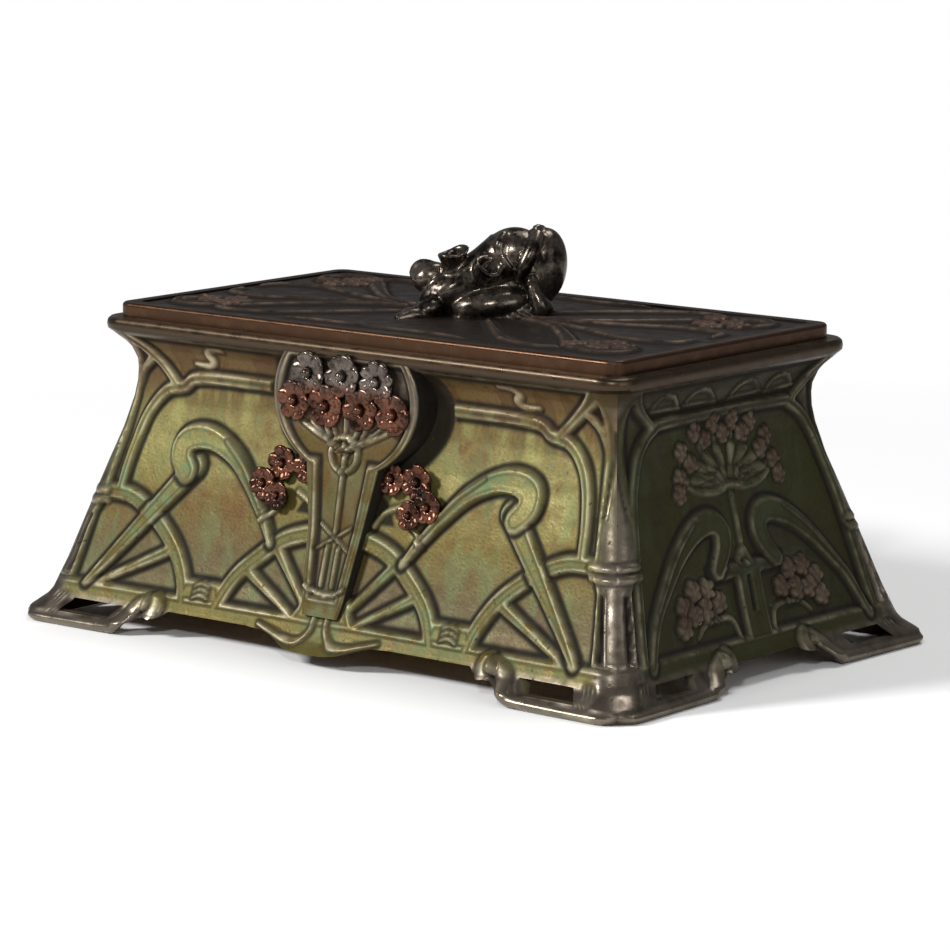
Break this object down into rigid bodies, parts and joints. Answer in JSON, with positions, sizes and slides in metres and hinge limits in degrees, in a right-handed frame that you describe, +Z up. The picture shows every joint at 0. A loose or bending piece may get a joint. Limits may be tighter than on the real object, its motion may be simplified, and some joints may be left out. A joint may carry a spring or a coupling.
{
  "type": "inkwell",
  "caption": "Cast bronze casket inkwell with four pierced feet, relief panels, a hinged lid with a flower handle, and a lift-out tray with porcelain pots.",
  "frame": {"origin": "on the desk under the middle of the casket", "axes": "+X along the casket, -Y towards the front, +Z up"},
  "size_m": [0.242, 0.1572, 0.1269],
  "materials": {
    "bronze": "cast bronze with a green and brown patina",
    "dark_bronze": "dark polished bronze",
    "brass": "plain brass",
    "tray_brass": "satin brass sheet",
    "porcelain": "white glaze"
  },
  "bodies": {
    "casket": {"casket_body": "bronze", "bottom_plate": "tray_brass", "bottom_plate_screws": "brass", "hinge_body_screws": "brass", "hinge_body_leaf_left": "brass", "hinge_body_leaf_right": "brass", "hinge_pin_left": "brass", "hinge_pin_right": "brass"},
    "lid": {"lid": "bronze", "flower_handle": "dark_bronze", "handle_stud": "brass", "handle_washer": "brass", "handle_nut": "brass", "hinge_lid_screws": "brass", "hinge_lid_leaf_left": "brass", "hinge_lid_leaf_right": "brass"},
    "tray": {"pot_tray": "tray_brass"},
    "pot_left": {"ink_pot_left": "porcelain"},
    "pot_right": {"ink_pot_right": "porcelain"}
  },
  "joints": [
    {"name": "lid_hinge", "type": "hinge", "parent": "casket", "child": "lid", "pos_m": [0, 0.0557, 0.0955], "axis": [-1, 0, 0], "range_deg": [0, 105]},
    {"name": "tray_lift", "type": "slide", "parent": "casket", "child": "tray", "axis": [0, 0, 1], "range_m": [0, 0.006]},
    {"name": "pot_left_lift", "type": "slide", "parent": "tray", "child": "pot_left", "axis": [0, 0, 1], "range_m": [0, 0.006]},
    {"name": "pot_right_lift", "type": "slide", "parent": "tray", "child": "pot_right", "axis": [0, 0, 1], "range_m": [0, 0.006]}
  ]
}
